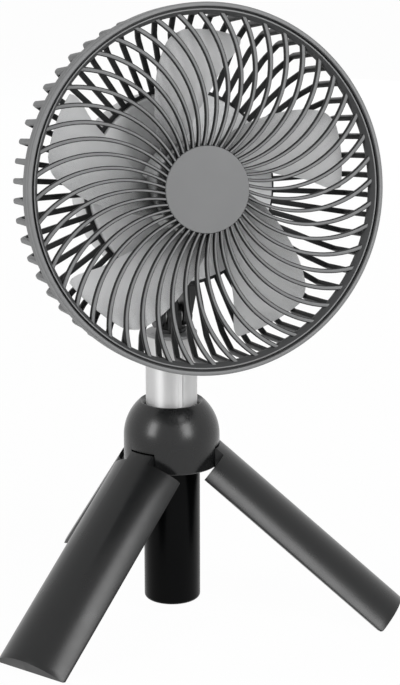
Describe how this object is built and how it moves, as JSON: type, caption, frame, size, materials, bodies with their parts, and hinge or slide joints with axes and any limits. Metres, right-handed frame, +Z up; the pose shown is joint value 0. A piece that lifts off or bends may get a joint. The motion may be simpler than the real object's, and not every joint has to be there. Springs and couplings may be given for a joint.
{
  "type": "portable tripod fan",
  "caption": "Portable camping fan: round curved-fin grille and drum housing on a tilting neck, a grooved telescopic mast, a dome hub and curved folding tripod legs.",
  "frame": {"origin": "centre of the footprint, on the plane that the legs stand on", "axes": "+Z up along the mast, the fan faces -Y and is tilted up a little, +X to the right as seen from behind"},
  "size_m": [0.2174, 0.2, 0.3248],
  "materials": {
    "grille": "satin moulded grey",
    "plate": "flat mid grey",
    "pale_plastic": "matte light grey",
    "stand": "satin charcoal",
    "sleeve": "glossy black",
    "joint_black": "matte black",
    "mast": "satin anodised",
    "steel": "plain steel",
    "brass": "turned brass and copper windings",
    "magnet": "sintered, dark",
    "cell": "film wrapped cell",
    "board": "green board",
    "lens": "clear"
  },
  "bodies": {
    "base": {"leg_hub": "stand", "hub_collar": "joint_black", "mast_sleeve": "sleeve", "leg_pin_back": "steel", "leg_pin_left": "steel", "leg_pin_right": "steel"},
    "mast": {"mast_tube": "mast", "mast_cap": "plate", "cap_screw_1": "joint_black", "cap_screw_2": "joint_black", "tilt_knuckle": "joint_black", "mast_foot": "joint_black"},
    "head": {"front_grille": "grille", "centre_plate": "plate", "rear_grille": "grille", "rear_housing": "pale_plastic", "rear_cover": "pale_plastic", "cover_screw_1": "steel", "cover_screw_2": "steel", "cover_screw_3": "steel", "cover_screw_4": "steel", "battery_cell_1": "cell", "battery_cell_2": "cell", "control_board": "board", "indicator_lens": "lens", "charge_socket": "steel", "bearing_tube": "brass", "motor_screw_1": "steel", "motor_screw_2": "steel", "motor_screw_3": "steel", "front_bearing": "steel", "rear_bearing": "steel", "motor_stator": "brass", "tilt_yoke": "joint_black", "yoke_screw_1": "steel", "yoke_screw_2": "steel", "tilt_washer_1": "steel", "tilt_washer_2": "steel", "tilt_pin": "steel"},
    "spinner": {"impeller": "pale_plastic", "magnet_ring": "magnet", "rotor_ring": "steel", "motor_shaft": "steel", "shaft_clip": "steel"},
    "button": {"power_button": "joint_black"},
    "back_leg": {"leg_back": "stand"},
    "left_leg": {"leg_left": "stand"},
    "right_leg": {"leg_right": "stand"}
  },
  "joints": [
    {"name": "mast_slide", "type": "slide", "parent": "base", "child": "mast", "axis": [0, 0, 1], "range_m": [0, 0.06]},
    {"name": "head_tilt", "type": "hinge", "parent": "mast", "child": "head", "pos_m": [-0.00273, -0.01992, 0.15902], "axis": [-1, 0, 0], "range_deg": [-29.3, 80.6]},
    {"name": "blade_spin", "type": "hinge", "parent": "head", "child": "spinner", "pos_m": [-0.00273, -0.08007, 0.23583], "axis": [0, -0.9867, 0.1628], "continuous": true},
    {"name": "button_press", "type": "slide", "parent": "head", "child": "button", "axis": [0, -0.9867, 0.1628], "range_m": [0, 0.001], "stiffness_N_per_m": 300, "springref_m": -0.002},
    {"name": "leg_fold_back", "type": "hinge", "parent": "base", "child": "back_leg", "pos_m": [-0.00385, -0.00216, 0.08652], "axis": [-0.998, -0.0628, 0], "range_deg": [0, 49.3]},
    {"name": "leg_fold_left", "type": "hinge", "parent": "base", "child": "left_leg", "pos_m": [-0.01756, -0.02978, 0.08652], "axis": [0.5534, -0.8329, 0], "range_deg": [0, 49.3]},
    {"name": "leg_fold_right", "type": "hinge", "parent": "base", "child": "right_leg", "pos_m": [0.01321, -0.02784, 0.08652], "axis": [0.4446, 0.8957, 0], "range_deg": [0, 49.3]}
  ]
}
